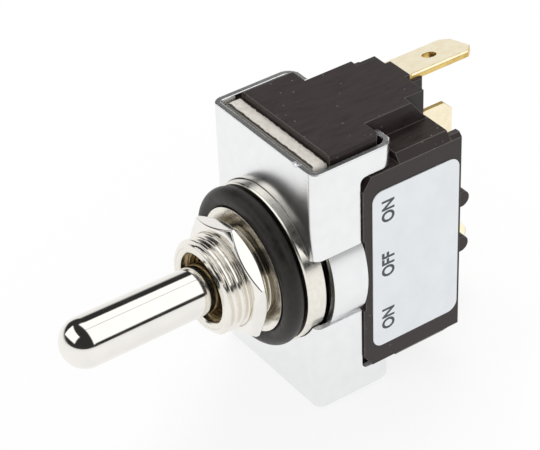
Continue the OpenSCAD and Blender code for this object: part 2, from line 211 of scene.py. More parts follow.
def front_light(azimuth, height, tilt, half_wide, half_tall):
    a, h, t = math.radians(azimuth), math.radians(height), math.radians(tilt)
    wide = Vector((math.cos(a), math.sin(a), 0))
    tall = Vector((-math.sin(h) * math.sin(a), math.sin(h) * math.cos(a), math.cos(h)))
    middle = Vector((math.sin(a) * math.cos(h), -math.cos(a) * math.cos(h), math.sin(h)))
    across = wide * math.cos(t) + tall * math.sin(t)
    upward = tall * math.cos(t) - wide * math.sin(t)
    lit = beyond(along(middle), 0.2, 0.1)
    for way, half in ((across, half_wide), (upward, half_tall)):
        inside = maths("SUBTRACT", math.sin(math.radians(half)), maths("ABSOLUTE", along(way)))
        lit = maths("MULTIPLY", lit, beyond(inside, 0.0, 0.03))
    return maths("MULTIPLY", lit, 1.2)


dark_room = 0.03
matt_level = 0.68
lights = maths("MAXIMUM", overhead_light(), front_light(-27.5, 40.0, 14.0, 32.0, 17.0))
mirror_view = maths("MAXIMUM", maths("MAXIMUM", lights, white_table()), dark_room)
glossy = sky.nodes.new("ShaderNodeLightPath").outputs["Is Glossy Ray"]
level = maths("ADD", maths("MULTIPLY", glossy, mirror_view),
              maths("MULTIPLY", maths("SUBTRACT", 1.0, glossy), matt_level))
back = sky.nodes.new("ShaderNodeBackground")
back.inputs["Color"].default_value = (1, 1, 1, 1)
sky.links.new(level, back.inputs["Strength"])
sky.links.new(back.outputs[0], sky.nodes.new("ShaderNodeOutputWorld").inputs[0])
print("world nodes:", len(sky.nodes))

# %% [markdown]
# One broad light stands above, behind and to the left. It makes tops brighter than sides and gives the
# faint shadow its side. A weak one from the front right keeps the label side open. Neither is seen in
# the polished metal, where the world alone draws the picture.

# %% Lamps
def soft_lamp(name, place, size, watts):
    data = bpy.data.lights.new(name, "AREA")
    data.energy = watts
    data.size = size * mm
    lamp = bpy.data.objects.new(name, data)
    lamp.matrix_world = Matrix.Translation(Vector(place) * mm) @ \
        Vector(place).to_track_quat("Z", "Y").to_matrix().to_4x4()
    lamp.visible_glossy = False
    bpy.context.scene.collection.objects.link(lamp)
    return lamp


key = soft_lamp("key_light", (-180, 120, 420), 260, 1.1)
fill = soft_lamp("fill_light", (300, -140, 160), 240, 0.25)
print("lamps:", key.name, fill.name)

# %% [markdown]
# ## Tools for the pieces
# Three helpers make most of the switch. One turns a list of points and faces into a mesh whose faces
# point outwards. One turns an outline round the switch's own axis, as a lathe does. One takes a fresh
# copy of an engineering shape, joins its loose triangles into clean faces and rounds its edges a little,
# because no real edge is perfectly sharp and the thin highlight along it is what looks real. Each edge
# says how much of the rounding it takes, so that a rim can be rounder than the small corners near it.
# A rounding wider than the shortest edge beside it would turn a face inside out, so the widths are small.

# %% Mesh helpers
same_plane = 0.0035
real_edge = math.radians(32)


def closed_mesh(name, points, faces, smooth_angle=35):
    mesh = bpy.data.meshes.new(name)
    mesh.from_pydata([(x * mm, y * mm, z * mm) for x, y, z in points], [], faces)
    bm = bmesh.new()
    bm.from_mesh(mesh)
    bmesh.ops.remove_doubles(bm, verts=bm.verts, dist=0.001 * mm)
    bmesh.ops.recalc_face_normals(bm, faces=bm.faces)
    bm.to_mesh(mesh)
    bm.free()
    mesh.shade_smooth()
    mesh.set_sharp_from_angle(angle=math.radians(smooth_angle))
    piece = bpy.data.objects.new(name, mesh)
    bpy.context.scene.collection.objects.link(piece)
    return piece


def turned(name, outline, steps=128, ring=True):
    """Turns an outline of (radius, y) round the Y axis. A ring's is closed, a solid's ends on the axis."""
    points, faces = [], []
    count = len(outline)
    for k in range(steps):
        c, s = math.cos(2 * math.pi * k / steps), math.sin(2 * math.pi * k / steps)
        points += [(r * c, y, r * s) for r, y in outline]
        for i in range(count if ring else count - 1):
            j, m = (i + 1) % count, (k + 1) % steps
            faces.append((k * count + i, k * count + j, m * count + j, m * count + i))
    return closed_mesh(name, points, faces)


def arc(centre_r, centre_y, radius, start, end, count):
    """Points of an arc in a turned outline; angles in degrees from the radius direction towards +Y."""
    angles = [math.radians(start + (end - start) * k / count) for k in range(count + 1)]
    return [(centre_r + radius * math.cos(a), centre_y + radius * math.sin(a)) for a in angles]


def as_plain_mesh(piece):
    """The mesh that a piece's modifiers, or its text, make."""
    bpy.context.view_layer.update()
    return bpy.data.meshes.new_from_object(piece.evaluated_get(bpy.context.evaluated_depsgraph_get()))


def fresh_copy(node_name, name, edge_mm, segments=2, edge_slot=-1, rim_mm=0):
    """A copy of an engineering shape with joined faces, rounded edges and wider rounded rims."""
    mesh = nodes[node_name].data.copy()
    mesh.name = name
    mesh.materials.clear()
    bm = bmesh.new()
    bm.from_mesh(mesh)
    bmesh.ops.remove_doubles(bm, verts=bm.verts, dist=0.003 * mm)
    bmesh.ops.dissolve_limit(bm, angle_limit=same_plane, verts=bm.verts, edges=bm.edges)
    widest = max(edge_mm, rim_mm)
    rim_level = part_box(node_name)[1].z - 0.05 * mm
    share = bm.edges.layers.float.new("bevel_weight_edge")
    for edge in bm.edges:
        if edge.calc_face_angle(0) > real_edge:
            on_rim = rim_mm > 0 and min(abs(v.co.z) for v in edge.verts) > rim_level
            edge[share] = (rim_mm if on_rim else edge_mm) / widest
    bm.to_mesh(mesh)
    bm.free()
    piece = bpy.data.objects.new(name, mesh)
    bpy.context.scene.collection.objects.link(piece)
    soften = piece.modifiers.new("soft_edges", "BEVEL")
    soften.width = widest * mm
    soften.segments = segments
    soften.limit_method = "WEIGHT"
    soften.use_clamp_overlap = False
    soften.material = edge_slot
    return piece


def set_solid(piece):
    """Turns a piece's modifiers into plain mesh and shades it smooth between its edges."""
    mesh = as_plain_mesh(piece)
    piece.modifiers.clear()
    piece.data = mesh
    mesh.shade_smooth()
    mesh.set_sharp_from_angle(angle=math.radians(28))
    flat = piece.modifiers.new("flat_faces_lead", "WEIGHTED_NORMAL")
    flat.mode = "FACE_AREA"
    flat.weight = 100
    flat.keep_sharp = True
    piece.data = as_plain_mesh(piece)
    piece.modifiers.clear()
    return piece


def mark_cut_faces(piece, flat_way, slot=1):
    """Gives the faces that stand across a sheet, where it was cut, another finish."""
    for face in piece.data.polygons:
        if abs(face.normal.dot(flat_way)) < 0.5:
            face.material_index = slot


print("helpers ready")

# %% [markdown]
# ## Tools for the finishes
# Every finish starts from one shader and adds a few layers of detail: grain that changes the colour a
# little, grain that changes how sharp the reflections are, and grain that lifts the surface. The grain
# is noise in the space of the object, measured in millimetres, and it can be stretched along an axis,
# which is how rolled, drawn and turned metal is drawn.

# %% Finish helpers
def start_finish(name, colour, metallic=0.0, roughness=0.5, shine=0.5):
    finish = bpy.data.materials.new(name)
    finish.use_nodes = True
    shader = finish.node_tree.nodes["Principled BSDF"]
    shader.inputs["Base Color"].default_value = (*colour, 1)
    shader.inputs["Metallic"].default_value = metallic
    shader.inputs["Roughness"].default_value = roughness
    shader.inputs["Specular IOR Level"].default_value = shine
    finish.diffuse_color = (*colour, 1)
    return finish, finish.node_tree, shader


def place_on(tree, size_mm, stretch=(1, 1, 1), turn_deg=(0, 0, 0)):
    """Object coordinates divided by a grain size, longer along some axes."""
    where = tree.nodes.new("ShaderNodeTexCoord")
    placed = tree.nodes.new("ShaderNodeMapping")
    placed.inputs["Rotation"].default_value = [math.radians(a) for a in turn_deg]
    placed.inputs["Scale"].default_value = [1 / (size_mm * mm * s) for s in stretch]
    tree.links.new(where.outputs["Object"], placed.inputs["Vector"])
    return placed.outputs["Vector"]


def grain(tree, size_mm, stretch=(1, 1, 1), detail=3.0, turn_deg=(0, 0, 0)):
    noise = tree.nodes.new("ShaderNodeTexNoise")
    noise.inputs["Scale"].default_value = 1.0
    noise.inputs["Detail"].default_value = detail
    tree.links.new(place_on(tree, size_mm, stretch, turn_deg), noise.inputs["Vector"])
    return noise.outputs["Fac"]


def levels(tree, value, low, high, to_low, to_high):
    made = tree.nodes.new("ShaderNodeMapRange")
    for k, setting in enumerate((low, high, to_low, to_high)):
        made.inputs[k + 1].default_value = setting
    tree.links.new(value, made.inputs[0])
    return made.outputs[0]


def tint(tree, value, dark, light, low=0.3, high=0.7):
    """Colours between two tints, by a grain."""
    ramp = tree.nodes.new("ShaderNodeValToRGB")
    ramp.color_ramp.elements[0].position = low
    ramp.color_ramp.elements[0].color = (*dark, 1)
    ramp.color_ramp.elements[1].position = high
    ramp.color_ramp.elements[1].color = (*light, 1)
    tree.links.new(value, ramp.inputs[0])
    return ramp.outputs[0]


def over(tree, amount, below, above):
    """Lays one colour over another where amount is 1."""
    mix = tree.nodes.new("ShaderNodeMix")
    mix.data_type = "RGBA"
    tree.links.new(amount, mix.inputs[0])
    for socket, colour in ((mix.inputs[6], below), (mix.inputs[7], above)):
        if isinstance(colour, tuple):
            socket.default_value = (*colour, 1)
        else:
            tree.links.new(colour, socket)
    return mix.outputs[2]


def lift(tree, shader, height, depth_mm, under=None):
    """Raises the surface by a grain, depth_mm high at most. under is a lift made before this one."""
    bump = tree.nodes.new("ShaderNodeBump")
    bump.inputs["Distance"].default_value = depth_mm * mm
    tree.links.new(height, bump.inputs["Height"])
    if under is not None:
        tree.links.new(under, bump.inputs["Normal"])
    tree.links.new(bump.outputs[0], shader.inputs["Normal"])
    return bump.outputs[0]


def wear_finish(tree, shader, colour=None, roughness=None):
    if colour is not None:
        tree.links.new(colour, shader.inputs["Base Color"])
    if roughness is not None:
        tree.links.new(roughness, shader.inputs["Roughness"])


print("finish helpers ready")

# %% [markdown]
# ### Polished nickel
# The lever, the nut and the thread are brass or zinc under bright nickel. Nickel is a slightly warm
# white. Its polish is nearly a mirror, with faint turning lines round the axis and soft clouds where
# the buffing wheel pressed less. Both are kept very weak, so that the reflections stay crisp.

# %% Nickel finish
def nickel_finish(name, colour, rough_low, rough_high, line_mm, line_depth):
    finish, tree, shader = start_finish(name, colour, metallic=1.0, roughness=rough_low)
    clouds = grain(tree, 2.4, detail=4.0)
    lines = grain(tree, line_mm, stretch=(60, 1, 60), detail=2.0)
    wear_finish(tree, shader, tint(tree, clouds, [c * 0.95 for c in colour], colour),
                levels(tree, clouds, 0.35, 0.7, rough_low, rough_high))
    lift(tree, shader, lines, line_depth)
    return finish


polished_nickel = nickel_finish("polished_nickel", (0.90, 0.875, 0.83), 0.06, 0.12, 0.22, 0.0006)
thread_nickel = nickel_finish("thread_nickel", (0.88, 0.85, 0.79), 0.10, 0.18, 0.10, 0.0012)
print("nickel finishes:", polished_nickel.name, thread_nickel.name)

# %% [markdown]
# ### Nickel on a die casting
# The bushing's body is cast, not turned, so its skin is a little wavy under the plate. Its flange ends
# in edges that were never polished: there the plating is matt and yellowish. The finish finds those
# edges by how far they are from the middle of the flange, which is a rule in object space. Along the
# borders of the flange's end faces runs a ragged dark line of painted shade, where gaps lie beside them.
# Close round the barrel, against the lip, the plate is darkened to a dull brown by painted shade.

# %% Casting finish
def casting_finish():
    finish, tree, shader = start_finish("plated_casting", (0.76, 0.73, 0.66), metallic=1.0, roughness=0.2)
    skin = grain(tree, 0.55, detail=5.0)
    pores = grain(tree, 0.12, detail=3.0)
    blotches = grain(tree, 0.9, detail=6.0)
    where = tree.nodes.new("ShaderNodeSeparateXYZ")
    tree.links.new(place_on(tree, 1.0), where.inputs[0])
    far = number(tree, "ABSOLUTE", where.outputs[2])
    edge = levels(tree, far, buffed_half, buffed_half + 2.0, 0.0, 1.0)
    # painted shade: a ragged dark line along the borders of the flange's end faces, beside the gaps
    off_flange_middle = number(tree, "ABSOLUTE", number(tree, "SUBTRACT", where.outputs[1], flange_middle))
    ragged = number(tree, "ADD", off_flange_middle, levels(tree, blotches, 0.3, 0.7, -0.12, 0.12))
    gap_shade_line = number(tree, "MULTIPLY", levels(tree, ragged, 0.74, 0.80, 0.0, 1.0),
                 levels(tree, far, flange_end, flange_end + 0.1, 0.0, 1.0))
    from_axis = tree.nodes.new("ShaderNodeVectorMath")
    from_axis.operation = "LENGTH"
    tree.links.new(place_on(tree, 1.0, stretch=(1, 1000, 1)), from_axis.inputs[0])
    # painted shade: a dull brown corner where the barrel meets the lip
    by_the_lip = levels(tree, where.outputs[1], -1.3, -1.2, 0.0, 1.0)
    by_the_barrel = levels(tree, from_axis.outputs["Value"], 6.7, 7.4, 1.0, 0.0)
    barrel_corner_shade = number(tree, "MULTIPLY", by_the_barrel, by_the_lip)
    buffed = tint(tree, skin, (0.80, 0.77, 0.69), (0.88, 0.85, 0.79))
    buffed_with_corner_shade = over(tree, barrel_corner_shade, buffed, (0.22, 0.19, 0.13))
    rough_cast = tint(tree, blotches, (0.62, 0.585, 0.53), (0.75, 0.715, 0.65), 0.35, 0.6)
    unbuffed_with_gap_shade = over(tree, gap_shade_line, rough_cast, (0.07, 0.06, 0.05))
    rough = number(tree, "ADD", number(tree, "MULTIPLY", edge, 0.5), levels(tree, skin, 0.3, 0.7, 0.13, 0.24))
    wear_finish(tree, shader, over(tree, edge, buffed_with_corner_shade, unbuffed_with_gap_shade), rough)
    tree.links.new(levels(tree, edge, 0.0, 1.0, 1.0, 0.2), shader.inputs["Metallic"])
    lift(tree, shader, pores, 0.004, lift(tree, shader, skin, 0.004))
    return finish


flange_thick = 1.9
flange_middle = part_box("bushing_housing")[1].y / mm - flange_thick / 2
flange_end = 16.9
buffed_half = 11.5
plated_casting = casting_finish()
print("casting finish nodes:", len(plated_casting.node_tree.nodes))

# %% [markdown]
# ### Zinc on rolled steel
# The bracket is cold-rolled strip with a bright, slightly blue zinc plate. Rolling leaves fine straight
# streaks, here up and down the front, and the plate adds a faint mottle. Zinc is softer to look at than
# nickel, so its reflections are blurred.

# %% Zinc finish
def zinc_finish(name, roughness_low, roughness_high, colour, metallic=1.0):
    finish, tree, shader = start_finish(name, colour, metallic=metallic, roughness=roughness_low)
    streaks = grain(tree, 0.10, stretch=(1, 1, 60), detail=2.0)
    mottle = grain(tree, 1.7, detail=5.0)
    tone = tint(tree, mottle, [c * 0.975 for c in colour], [min(1, c * 1.012) for c in colour])
    wear_finish(tree, shader, tone, levels(tree, streaks, 0.3, 0.7, roughness_low, roughness_high))
    lift(tree, shader, mottle, 0.0005, lift(tree, shader, streaks, 0.00008))
    return finish


bright_zinc = zinc_finish("bright_zinc", 0.20, 0.25, (0.875, 0.88, 0.885))
sheared_zinc = zinc_finish("sheared_zinc_edge", 0.36, 0.52, (0.86, 0.87, 0.89), 0.4)
print("zinc finishes:", bright_zinc.name, sheared_zinc.name)

# %% [markdown]
# ### Black rubber
# The seals are moulded nitrile rubber: nearly black, with a soft sheen, a very fine skin and a little
# pale dust that the rubber holds. Its reflections are broad, so the highlight is a soft grey band.

# %% Rubber finish
def rubber_finish():
    finish, tree, shader = start_finish("black_rubber", (0.014, 0.012, 0.010), roughness=0.42, shine=0.34)
    skin = grain(tree, 0.18, detail=4.0)
    dust = grain(tree, 0.9, detail=6.0)
    wear_finish(tree, shader, tint(tree, dust, (0.010, 0.0085, 0.0075), (0.024, 0.020, 0.017)),
                levels(tree, dust, 0.3, 0.7, 0.36, 0.52))
    lift(tree, shader, skin, 0.0025)
    return finish


black_rubber = rubber_finish()
print("rubber finish:", black_rubber.name)

# %% [markdown]
# ### Moulded case
# The case is phenolic, a hard brown-black moulding. Its skin is satin with faint flow lines, and small
# pale flecks of filler show in it. Its rounded edges get a finish of their own, a thin paler and rougher
# line that stands for scraped flash and also for a painted highlight along every edge.

# %% Phenolic finishes
def phenolic_finish(name, dark, light, rough_low, rough_high):
    finish, tree, shader = start_finish(name, dark, roughness=rough_low, shine=0.38)
    flow = grain(tree, 0.5, stretch=(1, 6, 1), detail=5.0)
    skin = grain(tree, 0.09, detail=3.0)
    fleck = tree.nodes.new("ShaderNodeTexVoronoi")
    fleck.feature = "F1"
    fleck.inputs["Scale"].default_value = 1.0
    tree.links.new(place_on(tree, 1.3), fleck.inputs["Vector"])
    speck = levels(tree, fleck.outputs["Distance"], 0.05, 0.09, 1.0, 0.0)
    wear_finish(tree, shader, over(tree, speck, tint(tree, flow, dark, light), (0.16, 0.15, 0.13)),
                levels(tree, flow, 0.3, 0.7, rough_low, rough_high))
    lift(tree, shader, skin, 0.003, lift(tree, shader, flow, 0.006))
    return finish


moulded_case = phenolic_finish("moulded_case", (0.018, 0.0125, 0.0115), (0.032, 0.0235, 0.0215), 0.36, 0.52)
# case edges: paler and rougher, partly scraped wear and partly a painted highlight
case_edge_wear_and_highlight = phenolic_finish("case_edge_scrape_and_highlight", (0.075, 0.066, 0.060), (0.12, 0.108, 0.10), 0.5, 0.65)
print("case finishes:", moulded_case.name, case_edge_wear_and_highlight.name)

# %% [markdown]
# ### Brass, copper, silver, nylon and spring steel
# These belong to the tabs and to the pieces inside the bushing and the case. They differ in colour and
# in how they were made: strip is rolled along its length, washers are punched and tumbled, contacts are
# faced with dull silver, and the plunger is moulded nylon, which lets some light into its skin.

# %% Small metal finishes
def strip_finish(name, dark, light, rough_low, rough_high, stretch, depth=0.0015):
    finish, tree, shader = start_finish(name, light, metallic=1.0, roughness=rough_low)
    rolled = grain(tree, 0.12, stretch=stretch, detail=3.0)
    stain = grain(tree, 1.2, detail=5.0)
    wear_finish(tree, shader, tint(tree, stain, dark, light, 0.35, 0.6),
                levels(tree, rolled, 0.3, 0.7, rough_low, rough_high))
    lift(tree, shader, rolled, depth)
    return finish


tab_brass = strip_finish("tab_brass", (0.93, 0.82, 0.58), (0.97, 0.88, 0.66), 0.20, 0.28, (1, 30, 1), 0.0004)
# tab edges: rougher, with painted shade making them darker and more orange
tab_edge_painted_shade = strip_finish("tab_edge_painted_shade", (0.66, 0.44, 0.13), (0.86, 0.64, 0.24), 0.25, 0.4, (1, 1, 1))
washer_brass = strip_finish("washer_brass", (0.20, 0.145, 0.075), (0.42, 0.32, 0.17), 0.24, 0.36, (1, 1, 1))
spring_steel = strip_finish("spring_steel", (0.52, 0.53, 0.55), (0.66, 0.67, 0.69), 0.2, 0.34, (1, 1, 1))
pin_steel = strip_finish("pin_steel", (0.56, 0.56, 0.57), (0.70, 0.70, 0.71), 0.12, 0.22, (30, 1, 1))
rocker_copper = strip_finish("rocker_copper", (0.66, 0.38, 0.22), (0.86, 0.56, 0.38), 0.2, 0.36, (1, 1, 30))
contact_silver = strip_finish("contact_silver", (0.70, 0.69, 0.66), (0.88, 0.88, 0.86), 0.28, 0.46, (1, 1, 1))
print("metal finishes made:", len(bpy.data.materials))

# %% Nylon finish
def nylon_finish():
    finish, tree, shader = start_finish("plunger_nylon", (0.84, 0.81, 0.71), roughness=0.36, shine=0.5)
    skin = grain(tree, 0.3, detail=4.0)
    wear_finish(tree, shader, tint(tree, skin, (0.78, 0.74, 0.62), (0.88, 0.86, 0.78)),
                levels(tree, skin, 0.3, 0.7, 0.28, 0.44))
    shader.inputs["Subsurface Weight"].default_value = 0.15
    shader.inputs["Subsurface Radius"].default_value = (0.0006, 0.0005, 0.0004)
    lift(tree, shader, skin, 0.003)
    return finish


plunger_nylon = nylon_finish()
print("nylon finish:", plunger_nylon.name)

# %% [markdown]
# ### Label film and ink
# The label is a matt silver-white polyester film. Its surface has an even, very fine tooth, and a cool
# tint. The ink is a dark grey print, thin enough to follow that tooth.

# %% Label finishes
def label_finish():
    finish, tree, shader = start_finish("label_film", (0.78, 0.81, 0.84), roughness=0.38, shine=0.5)
    tooth = grain(tree, 0.06, detail=2.0)
    haze = grain(tree, 3.0, detail=3.0)
    wear_finish(tree, shader, tint(tree, haze, (0.76, 0.79, 0.82), (0.81, 0.835, 0.86)),
                levels(tree, tooth, 0.3, 0.7, 0.32, 0.46))
    lift(tree, shader, tooth, 0.0012)
    return finish


def ink_finish():
    finish, tree, shader = start_finish("label_ink", (0.06, 0.065, 0.075), roughness=0.5, shine=0.4)
    tooth = grain(tree, 0.06, detail=2.0)
    wear_finish(tree, shader, tint(tree, tooth, (0.050, 0.054, 0.062), (0.085, 0.09, 0.10)),
                levels(tree, tooth, 0.3, 0.7, 0.42, 0.6))
    return finish


label_film = label_finish()
label_ink = ink_finish()
print("label finishes:", label_film.name, label_ink.name)

# %% [markdown]
# ## The threaded barrel
# A screw thread is one groove that winds round the barrel. It could be turned by the Screw modifier,
# but a rule is simpler to control: take a flat grid, roll it into a tube, and let the radius at each
# point depend on how far along the barrel it is plus how far round it is. One turn round moves the
# groove on by one pitch. Geometry Nodes do this with named inputs, so pitch and depth stay adjustable.

# %% Thread node tree
def thread_tree():
    tree = bpy.data.node_groups.new("screw_thread", "GeometryNodeTree")
    tree.interface.new_socket("Geometry", in_out="OUTPUT", socket_type="NodeSocketGeometry")
    sizes = (("Crest Radius", 6.0), ("Groove Depth", 0.50), ("Groove Width", 0.72), ("Pitch", 1.0),
             ("Start", -6.0), ("Length", 6.05), ("Lead Radius", 5.56), ("Lead Slope", 1.2),
             ("First Turn", 0.0))
    for name, value in sizes:
        socket = tree.interface.new_socket(name, in_out="INPUT", socket_type="NodeSocketFloat")
        socket.default_value = value
    for name, value in (("Steps Round", 144), ("Steps Along", 150)):
        socket = tree.interface.new_socket(name, in_out="INPUT", socket_type="NodeSocketInt")
        socket.default_value = value
    tree.interface.new_socket("Finish", in_out="INPUT", socket_type="NodeSocketMaterial")
    given = tree.nodes.new("NodeGroupInput").outputs
    grid = tree.nodes.new("GeometryNodeMeshGrid")
    grid.inputs["Size X"].default_value = 1.0
    grid.inputs["Size Y"].default_value = 1.0
    tree.links.new(number(tree, "ADD", given["Steps Round"], 1), grid.inputs["Vertices X"])
    tree.links.new(number(tree, "ADD", given["Steps Along"], 1), grid.inputs["Vertices Y"])
    flat = tree.nodes.new("ShaderNodeSeparateXYZ")
    tree.links.new(tree.nodes.new("GeometryNodeInputPosition").outputs[0], flat.inputs[0])
    round_share = number(tree, "ADD", flat.outputs[0], 0.5)
    along = number(tree, "MULTIPLY", number(tree, "ADD", flat.outputs[1], 0.5), given["Length"])
    y = number(tree, "ADD", along, given["Start"])
    turns = number(tree, "ADD", number(tree, "DIVIDE", along, given["Pitch"]),
                   number(tree, "ADD", round_share, given["First Turn"]))
    within_turn = number(tree, "SUBTRACT", number(tree, "FRACT", turns), 0.5)
    from_root = number(tree, "MULTIPLY", number(tree, "ABSOLUTE", within_turn), 2.0)
    groove = tree.nodes.new("ShaderNodeMapRange")
    groove.interpolation_type = "SMOOTHSTEP"
    tree.links.new(from_root, groove.inputs[0])
    groove.inputs[1].default_value = 0.0
    tree.links.new(given["Groove Width"], groove.inputs[2])
    groove.inputs[3].default_value = 1.0
    groove.inputs[4].default_value = 0.0
    thread_r = number(tree, "SUBTRACT", given["Crest Radius"],
                      number(tree, "MULTIPLY", groove.outputs[0], given["Groove Depth"]))
    lead_r = number(tree, "ADD", given["Lead Radius"], number(tree, "MULTIPLY", along, given["Lead Slope"]))
    radius = number(tree, "MINIMUM", thread_r, lead_r)
    angle = number(tree, "MULTIPLY", round_share, 2 * math.pi)
    rolled = tree.nodes.new("ShaderNodeCombineXYZ")
    tree.links.new(number(tree, "MULTIPLY", radius, number(tree, "COSINE", angle)), rolled.inputs[0])
    tree.links.new(y, rolled.inputs[1])
    tree.links.new(number(tree, "MULTIPLY", radius, number(tree, "SINE", angle)), rolled.inputs[2])
    in_metres = tree.nodes.new("ShaderNodeVectorMath")
    in_metres.operation = "SCALE"
    in_metres.inputs["Scale"].default_value = mm
    tree.links.new(rolled.outputs[0], in_metres.inputs[0])
    steps = (tree.nodes.new("GeometryNodeSetPosition"), tree.nodes.new("GeometryNodeMergeByDistance"),
             tree.nodes.new("GeometryNodeRealizeInstances"), tree.nodes.new("GeometryNodeSetMaterial"))
    tree.links.new(in_metres.outputs[0], steps[0].inputs["Position"])
    steps[1].inputs["Distance"].default_value = 0.0005 * mm
    tree.links.new(given["Finish"], steps[3].inputs["Material"])
    before = grid.outputs["Mesh"]
    for step_node in steps:
        tree.links.new(before, step_node.inputs[0])
        before = step_node.outputs[0]
    tree.links.new(before, tree.nodes.new("NodeGroupOutput").inputs[0])
    return tree


screw_thread = thread_tree()
print("thread tree:", len(screw_thread.nodes), "nodes")

# %% [markdown]
# The tree is run by a modifier on an empty mesh. Its inputs are set by each socket's own identifier,
# because a name can be shared by two sockets. The result is taken as a plain mesh, and the modifier is
# thrown away. The tube that comes out is open, so its two ends are then drawn inwards to a plain bore.

# %% Run a node tree and keep its mesh
def grow(name, tree, **values):
    seed_mesh = bpy.data.meshes.new(name + "_seed")
    grower = bpy.data.objects.new(name, seed_mesh)
    bpy.context.scene.collection.objects.link(grower)
    modifier = grower.modifiers.new("grow", "NODES")
    modifier.node_group = tree
    sockets = {item.name: item.identifier for item in tree.interface.items_tree if item.in_out == "INPUT"}
    for key, value in values.items():
        modifier[sockets[key.replace("_", " ")]] = value
    grower.data = as_plain_mesh(grower)
    grower.modifiers.clear()
    print(name, "has", len(grower.data.polygons), "faces")
    return grower


thread = grow("thread_sleeve", screw_thread, Finish=thread_nickel, First_Turn=-0.111)

# %% Close the sleeve
def close_sleeve(piece, bore):
    bm = bmesh.new()
    bm.from_mesh(piece.data)
    bmesh.ops.remove_doubles(bm, verts=bm.verts, dist=0.001 * mm)
    rims = [edge for edge in bm.edges if edge.is_boundary]
    middle = sum(v.co.y for v in bm.verts) / len(bm.verts)
    inner = bmesh.ops.extrude_edge_only(bm, edges=rims)["geom"]
    for v in (g for g in inner if isinstance(g, bmesh.types.BMVert)):
        r = math.hypot(v.co.x, v.co.z)
        v.co.x, v.co.z = v.co.x * bore * mm / r, v.co.z * bore * mm / r
    ends = [g for g in inner if isinstance(g, bmesh.types.BMEdge) and g.is_boundary]
    bmesh.ops.bridge_loops(bm, edges=ends)
    bmesh.ops.recalc_face_normals(bm, faces=bm.faces)
    bm.to_mesh(piece.data)
    open_edges = sum(1 for edge in bm.edges if len(edge.link_faces) != 2)
    bm.free()
    piece.data.shade_smooth()
    piece.data.set_sharp_from_angle(angle=math.radians(40))
    print(piece.name, "open edges:", open_edges, "middle y:", round(middle / mm, 2))
    return piece


sleeve_bore = 5.2
close_sleeve(thread, sleeve_bore)
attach(thread, "switch")

# %% [markdown]
# ## The bushing's body
# The casting behind the thread is a lip that meets the panel, a step where the seal sits, a drum and a
# flat flange inside the bracket. The engineering shape is already right, with its bore and its pin
# slots. Only the outside of its barrel is in the way of the real thread, so a copy of it is shaved down
# to the sleeve's bore, the way a blank is turned before a sleeve is pressed on.

# %% Bushing body
def shaved_bushing():
    body = fresh_copy("bushing_housing", "bushing_body", 0.03)
    moved = 0
    for v in body.data.vertices:
        r = math.hypot(v.co.x, v.co.z) / mm
        if v.co.y < 0.01 * mm and 5.3 < r < 6.05:
            v.co.x, v.co.z = v.co.x * sleeve_bore / r, v.co.z * sleeve_bore / r
            moved += 1
    print("shaved", moved, "points of the barrel")
    body.data.materials.append(plated_casting)
    return set_solid(body)


bushing_body = shaved_bushing()
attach(bushing_body, "switch")
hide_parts("bushing_housing")

# %% [markdown]
# ## The nut
# A thin hex nut holds the switch to its panel. Both faces are chamfered by turning, which leaves a
# curved line on each flat. The engineering shape has those. A nut is pressed before it is turned, and
# comes out of its die a little narrower in front, so the copy's flats lean in by about two parts in a
# hundred. That small lean decides what each flat mirrors.

# %% Nut
nut_lean = 0.022
nut = fresh_copy("hex_nut", "panel_nut", 0.10, segments=3)
nut_front, nut_rear = (barrel_corner_shade.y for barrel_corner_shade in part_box("hex_nut"))
for v in nut.data.vertices:
    if math.hypot(v.co.x, v.co.z) > 6.4 * mm:
        shrink = 1 - nut_lean * (nut_rear - v.co.y) / (nut_rear - nut_front)
        v.co.x, v.co.z = v.co.x * shrink, v.co.z * shrink
nut.data.materials.append(polished_nickel)
set_solid(nut)
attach(nut, "switch")
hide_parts("hex_nut")
print("nut faces:", len(nut.data.polygons))

# %% [markdown]
# ## The bat lever
# The lever is one turned piece: a round tip, a rod that thickens slightly to the tip, a waist, a ball
# that rocks in the barrel, and a hollow stem that holds the spring. A lathe outline describes all of it.
# The outline runs from the tip's pole along the outside to the stem's end and back inside its bore.

# %% Lever
lever_outline = (
    arc(0.0, -21.8, 3.15, -90, 0, 22)
    + [(3.12, -14.0), (3.06, -5.2)] + arc(2.9, -5.05, 0.16, 0, 70, 4)
    + [(2.66, -4.74), (2.6, -4.6), (2.6, -3.2)]
    + arc(0.0, 0.3, 4.3, -52.8, 56.1, 26)
    + [(2.4, 4.2), (2.4, 8.2), (2.32, 8.42), (2.1, 8.5), (1.5, 8.5)]
    + [(1.45, 8.4), (1.45, 1.95), (1.2, 1.9), (0.0, 1.9)]
)
lever = turned("bat_lever", lever_outline, steps=144, ring=False)
lever.data.materials.append(polished_nickel)
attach(lever, "lever")
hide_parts("lever")
print("lever faces:", len(lever.data.polygons))

# %% [markdown]
# ## The seals
# Both seals are round-section rings. A ring turned from a circle would be correct but dead: a moulded
# ring has a thin parting line round its outside, where the two halves of the mould met. The outline is
# a circle with a small ridge at that place.

# %% Seals
def seal_ring(name, ring_r, section_r, y, ridge, body, node_name):
    count = 40
    outline = []
    for k in range(count):
        a = 2 * math.pi * k / count
        swell = ridge * max(0.0, 1 - abs(math.atan2(math.sin(a - 0.6), math.cos(a - 0.6))) / 0.16)
        outline.append((ring_r + (section_r + swell) * math.cos(a), y + (section_r + swell) * math.sin(a)))
    ring = turned(name, outline, steps=160)
    ring.data.materials.append(black_rubber)
    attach(ring, body)
    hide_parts(node_name)
    return ring


panel_ring = seal_ring("panel_ring", 8.9, 1.25, 1.15, 0.03, "switch", "panel_seal")
lever_ring = seal_ring("lever_ring", 3.85, 0.6, -2.78, 0.012, "switch", "lever_seal")
print("seals:", panel_ring.name, lever_ring.name)

